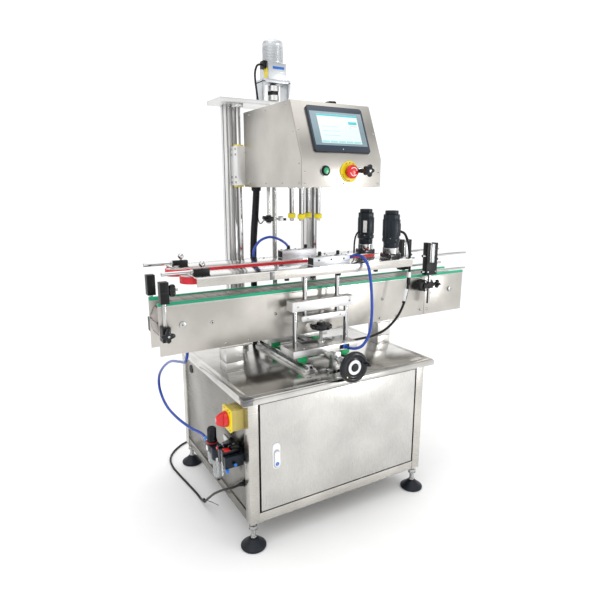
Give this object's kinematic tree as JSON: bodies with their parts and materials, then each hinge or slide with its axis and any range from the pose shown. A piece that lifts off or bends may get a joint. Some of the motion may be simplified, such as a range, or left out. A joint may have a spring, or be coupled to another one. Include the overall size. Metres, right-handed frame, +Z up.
{
  "type": "capping machine",
  "caption": "Inline spindle capping machine: cabinet on levelling feet, slat conveyor, two belt bottle clamps, lifting head with four capping spindles and a touch screen.",
  "frame": {"origin": "on the floor under the middle of the machine", "axes": "+X along the conveyor from its idler end to its drive end, +Y from the operator side to the back, +Z up"},
  "size_m": [1.257, 0.93, 1.604],
  "materials": {
    "stainless": "brushed stainless sheet and plate",
    "aluminium": "clear anodised extrusion and plate",
    "shaft_steel": "ground and chromed round bar",
    "black_plastic": "moulded black nylon",
    "black_paint": "satin black painted casting",
    "belt_red": "soft red grip belt",
    "slat": "brown-grey acetal slats",
    "yellow": "yellow polyurethane and plastic",
    "red": "red moulded plastic",
    "green": "green moulded plastic",
    "panel_housing": "dark screen housing",
    "cast_alloy": "bare cast alloy",
    "hose_blue": "blue polyurethane air hose",
    "cable_black": "black cable sheath"
  },
  "bodies": {
    "root": {"cabinet_body": "stainless", "table_top": "stainless", "foot_front_left": "black_plastic", "foot_front_right": "black_plastic", "foot_rear_left": "black_plastic", "foot_rear_right": "black_plastic", "main_switch_box": "yellow", "air_unit": "black_paint", "control_plate": "cast_alloy", "conveyor_frame": "stainless", "slat_chain": "slat", "cross_rails": "aluminium", "column_left": "aluminium", "column_right": "aluminium", "lift_guides": "aluminium", "lift_gearmotor": "cast_alloy", "head_conduit": "cable_black", "air_hose": "hose_blue", "supply_cord": "cable_black", "cord_coil": "cable_black", "cord_plug": "black_plastic"},
    "cabinet_door": {"door": "stainless"},
    "door_latch": {"door_handle": "black_plastic"},
    "main_switch": {"main_switch_knob": "red"},
    "regulator": {"regulator_knob": "black_plastic"},
    "drive_shaft": {"drive_sprocket": "black_plastic"},
    "idler_shaft": {"idler_sprocket": "black_plastic"},
    "rail_front": {"guide_rail_front": "shaft_steel"},
    "rail_rear": {"guide_rail_rear": "shaft_steel"},
    "left_knob": {"left_clamp_knob": "black_plastic"},
    "right_knob": {"right_clamp_knob": "black_plastic"},
    "handwheel": {"cross_screw": "black_plastic"},
    "carriage_front": {"carriage_front": "aluminium"},
    "carriage_rear": {"carriage_rear": "aluminium"},
    "height_wheel_front": {"height_screw_front": "black_plastic"},
    "height_wheel_rear": {"height_screw_rear": "black_plastic"},
    "clamp_front": {"clamp_front": "stainless", "belt_front": "belt_red", "belt_motor_front": "black_paint", "motor_cable": "cable_black", "clamp_hose": "hose_blue"},
    "clamp_rear": {"clamp_rear": "stainless", "belt_rear": "belt_red", "belt_motor_rear": "black_paint"},
    "drive_pulley_front": {"drive_pulley_front": "aluminium"},
    "idler_pulley_front": {"idler_pulley_front": "aluminium"},
    "drive_pulley_rear": {"drive_pulley_rear": "aluminium"},
    "idler_pulley_rear": {"idler_pulley_rear": "aluminium"},
    "lift_screw": {"lift_screw": "shaft_steel"},
    "head": {"head_box": "stainless", "touch_screen": "panel_housing", "spindle_motor": "black_paint"},
    "start_button": {"start_button": "green"},
    "stop_button": {"stop_button": "red"},
    "head_knob": {"head_knob": "black_plastic"},
    "drive_gear": {"drive_gear": "cast_alloy"},
    "spindle_front_left": {"spindle_front_left": "yellow"},
    "spindle_front_right": {"spindle_front_right": "yellow"},
    "spindle_rear_left": {"spindle_rear_left": "yellow"},
    "spindle_rear_right": {"spindle_rear_right": "yellow"}
  },
  "joints": [
    {"name": "door_swing", "type": "hinge", "parent": "root", "child": "cabinet_door", "pos_m": [0.217, -0.27625, 0.297], "axis": [0, 0, 1], "range_deg": [0, 110]},
    {"name": "handle_lift", "type": "hinge", "parent": "cabinet_door", "child": "door_latch", "pos_m": [-0.3375, -0.27965, 0.312], "axis": [-1, 0, 0], "range_deg": [0, 35]},
    {"name": "switch_turn", "type": "hinge", "parent": "root", "child": "main_switch", "pos_m": [-0.4708, -0.21475, 0.425], "axis": [1, 0, 0], "range_deg": [0, 90]},
    {"name": "regulator_turn", "type": "hinge", "parent": "root", "child": "regulator", "pos_m": [-0.474, -0.09025, 0.2963], "axis": [0, 0, 1], "range_deg": [-720, 720]},
    {"name": "drive_spin", "type": "hinge", "parent": "root", "child": "drive_shaft", "pos_m": [0.5585, -0.03275, 0.695], "axis": [0, 1, 0], "continuous": true},
    {"name": "idler_spin", "type": "hinge", "parent": "root", "child": "idler_shaft", "pos_m": [-0.5515, -0.03275, 0.695], "axis": [0, 1, 0], "continuous": true},
    {"name": "rail_front_height", "type": "slide", "parent": "root", "child": "rail_front", "axis": [0, 0, 1], "range_m": [-0.02, 0.02]},
    {"name": "rail_rear_height", "type": "slide", "parent": "root", "child": "rail_rear", "axis": [0, 0, 1], "range_m": [-0.02, 0.02]},
    {"name": "left_knob_turn", "type": "hinge", "parent": "root", "child": "left_knob", "pos_m": [-0.6075, -0.11805, 0.678], "axis": [0, 1, 0], "continuous": true},
    {"name": "right_knob_turn", "type": "hinge", "parent": "root", "child": "right_knob", "pos_m": [0.4458, -0.10525, 0.727], "axis": [1, 0, 0], "continuous": true},
    {"name": "handwheel_turn", "type": "hinge", "parent": "root", "child": "handwheel", "pos_m": [-0.0905, -0.32575, 0.553], "axis": [0, 1, 0], "range_deg": [-1320, 1050]},
    {"name": "carriage_front_slide", "type": "slide", "parent": "root", "child": "carriage_front", "axis": [0, 1, 0], "range_m": [-0.015, 0.012]},
    {"name": "carriage_rear_slide", "type": "slide", "parent": "root", "child": "carriage_rear", "axis": [0, 1, 0], "range_m": [-0.012, 0.015]},
    {"name": "height_front_turn", "type": "hinge", "parent": "carriage_front", "child": "height_wheel_front", "pos_m": [-0.0905, -0.13775, 0.64], "axis": [0, 0, 1], "range_deg": [-1740, 1740]},
    {"name": "clamp_front_height", "type": "slide", "parent": "carriage_front", "child": "clamp_front", "axis": [0, 0, 1], "range_m": [-0.015, 0.015], "deforming": ["motor_cable", "clamp_hose"]},
    {"name": "belt_drive_front_spin", "type": "hinge", "parent": "clamp_front", "child": "drive_pulley_front", "pos_m": [0.2255, -0.10775, 0.835], "axis": [0, 0, 1], "continuous": true},
    {"name": "belt_idler_front_spin", "type": "hinge", "parent": "clamp_front", "child": "idler_pulley_front", "pos_m": [-0.5215, -0.10775, 0.835], "axis": [0, 0, 1], "continuous": true},
    {"name": "height_rear_turn", "type": "hinge", "parent": "carriage_rear", "child": "height_wheel_rear", "pos_m": [-0.0905, 0.07225, 0.64], "axis": [0, 0, 1], "range_deg": [-1740, 1740]},
    {"name": "clamp_rear_height", "type": "slide", "parent": "carriage_rear", "child": "clamp_rear", "axis": [0, 0, 1], "range_m": [-0.015, 0.015]},
    {"name": "belt_drive_rear_spin", "type": "hinge", "parent": "clamp_rear", "child": "drive_pulley_rear", "pos_m": [0.2255, 0.04225, 0.835], "axis": [0, 0, 1], "continuous": true},
    {"name": "belt_idler_rear_spin", "type": "hinge", "parent": "clamp_rear", "child": "idler_pulley_rear", "pos_m": [-0.5215, 0.04225, 0.835], "axis": [0, 0, 1], "continuous": true},
    {"name": "lift_screw_turn", "type": "hinge", "parent": "root", "child": "lift_screw", "pos_m": [-0.0895, 0.19725, 1], "axis": [0, 0, 1], "range_deg": [-7150, 1400]},
    {"name": "head_lift", "type": "slide", "parent": "root", "child": "head", "axis": [0, 0, 1], "range_m": [-0.1, 0.02], "deforming": ["head_conduit"]},
    {"name": "start_press", "type": "slide", "parent": "head", "child": "start_button", "axis": [0, 1, 0], "range_m": [0, 0.004], "stiffness_N_per_m": 800, "springref_m": -0.002},
    {"name": "stop_press", "type": "slide", "parent": "head", "child": "stop_button", "axis": [0, 1, 0], "range_m": [0, 0.005]},
    {"name": "head_knob_turn", "type": "hinge", "parent": "head", "child": "head_knob", "pos_m": [-0.0295, -0.25435, 1.146], "axis": [0, 1, 0], "continuous": true},
    {"name": "gear_spin", "type": "hinge", "parent": "head", "child": "drive_gear", "pos_m": [-0.0925, -0.03275, 1.13], "axis": [0, 0, 1], "continuous": true},
    {"name": "spindle_front_left_spin", "type": "hinge", "parent": "head", "child": "spindle_front_left", "pos_m": [-0.125, -0.06525, 1], "axis": [0, 0, 1], "continuous": true},
    {"name": "spindle_front_right_spin", "type": "hinge", "parent": "head", "child": "spindle_front_right", "pos_m": [-0.06, -0.06525, 1], "axis": [0, 0, 1], "continuous": true},
    {"name": "spindle_rear_left_spin", "type": "hinge", "parent": "head", "child": "spindle_rear_left", "pos_m": [-0.125, -0.00025, 1], "axis": [0, 0, 1], "continuous": true},
    {"name": "spindle_rear_right_spin", "type": "hinge", "parent": "head", "child": "spindle_rear_right", "pos_m": [-0.06, -0.00025, 1], "axis": [0, 0, 1], "continuous": true}
  ],
  "couplings": [
    {"joint": "idler_spin", "follows": "drive_spin", "ratio": 1},
    {"joint": "carriage_front_slide", "follows": "handwheel_turn", "m_per_rad": 0.00063662},
    {"joint": "carriage_rear_slide", "follows": "handwheel_turn", "m_per_rad": -0.00063662},
    {"joint": "clamp_front_height", "follows": "height_front_turn", "m_per_rad": 0.00047746},
    {"joint": "belt_idler_front_spin", "follows": "belt_drive_front_spin", "ratio": 1},
    {"joint": "clamp_rear_height", "follows": "height_rear_turn", "m_per_rad": 0.00047746},
    {"joint": "belt_idler_rear_spin", "follows": "belt_drive_rear_spin", "ratio": 1},
    {"joint": "head_lift", "follows": "lift_screw_turn", "m_per_rad": 0.00079577},
    {"joint": "spindle_front_left_spin", "follows": "gear_spin", "ratio": -1.5556},
    {"joint": "spindle_front_right_spin", "follows": "gear_spin", "ratio": -1.5556},
    {"joint": "spindle_rear_left_spin", "follows": "gear_spin", "ratio": -1.5556},
    {"joint": "spindle_rear_right_spin", "follows": "gear_spin", "ratio": -1.5556}
  ]
}
